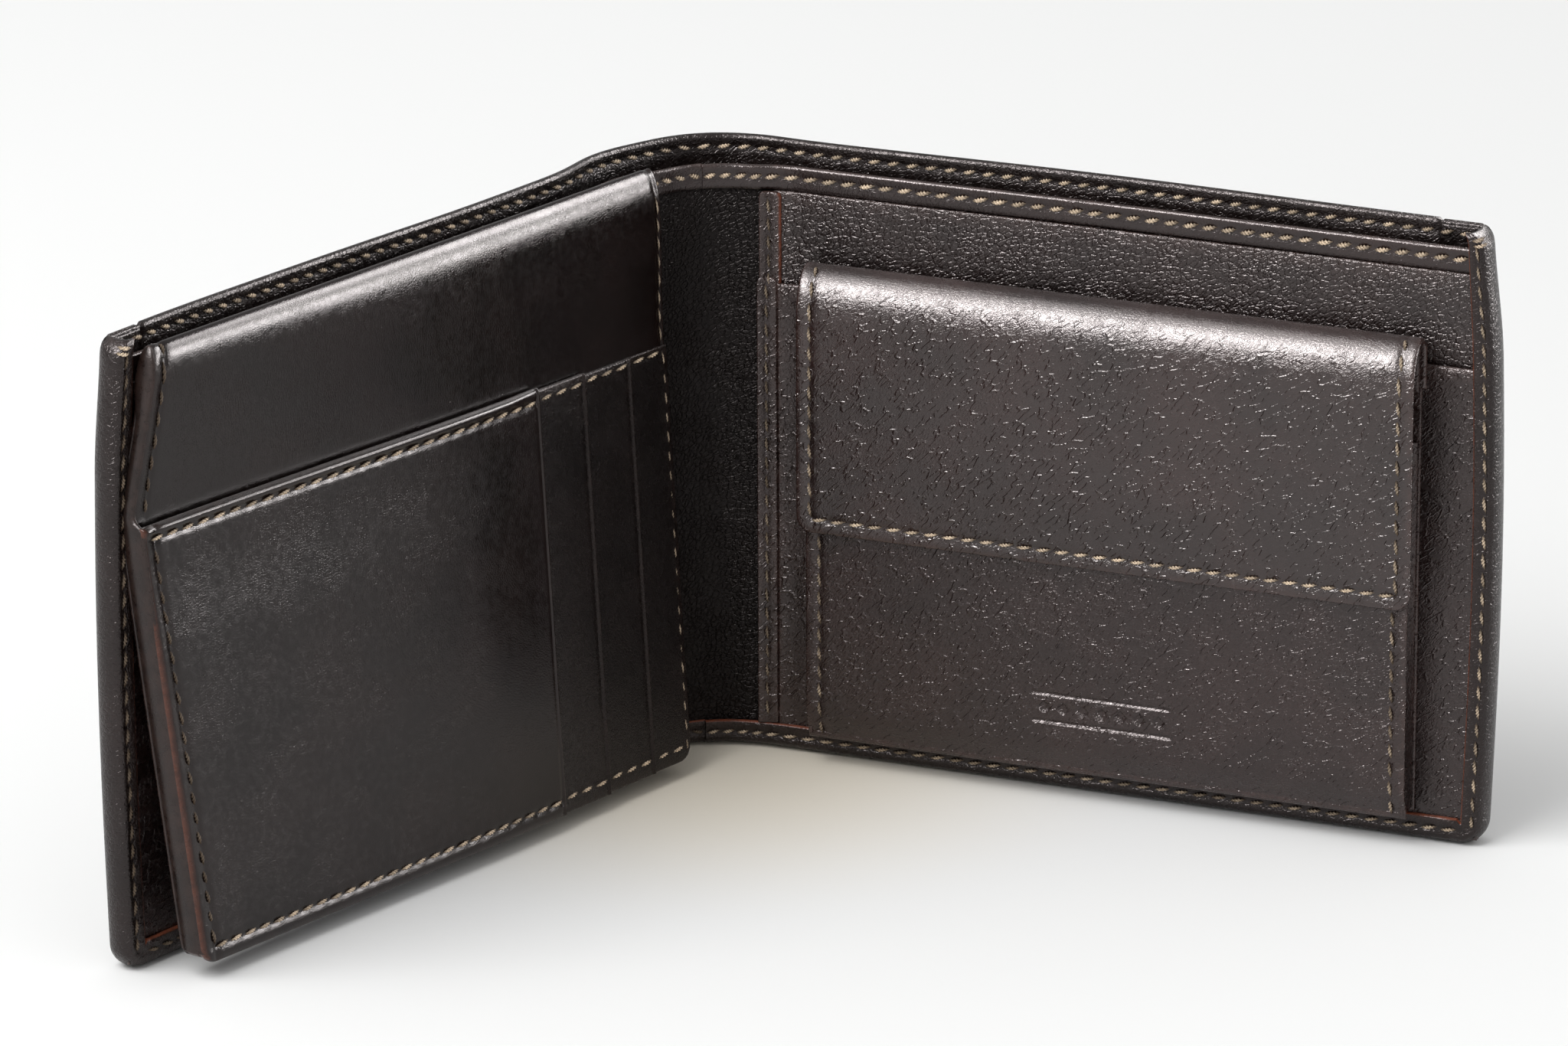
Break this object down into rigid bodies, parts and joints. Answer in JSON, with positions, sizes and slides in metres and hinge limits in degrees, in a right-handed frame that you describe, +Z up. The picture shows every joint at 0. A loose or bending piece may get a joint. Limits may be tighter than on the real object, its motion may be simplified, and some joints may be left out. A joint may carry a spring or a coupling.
{
  "type": "bifold wallet",
  "caption": "Stitched leather bifold wallet standing half open, with note compartment, flapped coin pocket and a flip-up card wing.",
  "frame": {"origin": "centre of the bounding box's base, on the surface that the wallet stands on", "axes": "+Z up along the fold, +X along the right half away from the fold, -Y is the side the wallet opens to"},
  "size_m": [0.1688, 0.123, 0.095],
  "materials": {
    "cover_leather": "semi-gloss grained",
    "pocket_leather": "semi-gloss fine grain",
    "flap_leather": "smooth semi-gloss",
    "lining": "matte",
    "thread": "waxed",
    "piping": "matte",
    "snap_metal": "satin"
  },
  "bodies": {
    "right_half": {"cover_right": "cover_leather", "note_lining_right": "lining", "divider_right": "pocket_leather", "header_panel_right": "pocket_leather", "turned_strip_right": "pocket_leather", "slip_pocket_right": "pocket_leather", "coin_pocket_back": "pocket_leather", "coin_gusset_near": "pocket_leather", "coin_gusset_far": "pocket_leather", "coin_pocket_floor": "pocket_leather", "coin_flap_hinge_strip": "pocket_leather", "cover_top_thread_right": "thread", "divider_hem_thread_right": "thread", "border_thread_right": "thread", "strip_thread_right": "thread"},
    "coin_front": {"coin_front_panel": "pocket_leather", "coin_front_thread": "thread", "snap_stud": "snap_metal"},
    "coin_flap": {"coin_flap_leather": "flap_leather", "coin_flap_lining": "lining", "snap_socket": "snap_metal", "coin_flap_thread": "thread"},
    "spine": {"cover_spine": "cover_leather", "note_lining_spine": "lining", "divider_spine": "pocket_leather", "cover_top_thread_spine": "thread", "divider_hem_thread_spine": "thread"},
    "left_half": {"cover_left": "cover_leather", "note_lining_left": "lining", "divider_left": "pocket_leather", "inner_panel_left": "pocket_leather", "cover_top_thread_left": "thread", "divider_hem_thread_left": "thread", "border_thread_left": "thread", "wing_hinge_core": "piping"},
    "wing": {"wing_front_panel": "flap_leather", "wing_back_panel": "flap_leather", "wing_slot_panel_low": "flap_leather", "wing_slot_panel_mid": "flap_leather", "wing_pocket_panel": "flap_leather", "wing_edge_thread": "thread", "wing_pocket_thread": "thread"}
  },
  "joints": [
    {"name": "spine_fold_right", "type": "hinge", "parent": "right_half", "child": "spine", "pos_m": [-0.02814, 0.06099, 0], "axis": [0, 0, 1], "range_deg": [-35.75, 54.25]},
    {"name": "spine_fold_left", "type": "hinge", "parent": "spine", "child": "left_half", "pos_m": [-0.04814, 0.04659, 0], "axis": [0, 0, 1], "range_deg": [-35.75, 54.25]},
    {"name": "wing_flip", "type": "hinge", "parent": "left_half", "child": "wing", "pos_m": [-0.04193, 0.04451, 0.092], "axis": [-0.3173, -0.9483, 0], "range_deg": [0, 178]},
    {"name": "coin_flap_lift", "type": "hinge", "parent": "right_half", "child": "coin_flap", "pos_m": [-0.02814, 0.05144, 0.0766], "axis": [-1, 0, 0], "range_deg": [0, 178]},
    {"name": "coin_front_lean", "type": "hinge", "parent": "right_half", "child": "coin_front", "pos_m": [-0.02814, 0.05154, 0.0046], "axis": [1, 0, 0], "range_deg": [0, 2]}
  ],
  "couplings": [
    {"joint": "spine_fold_left", "follows": "spine_fold_right", "ratio": 1},
    {"joint": "coin_front_lean", "follows": "coin_flap_lift", "ratio": 0.011236}
  ]
}
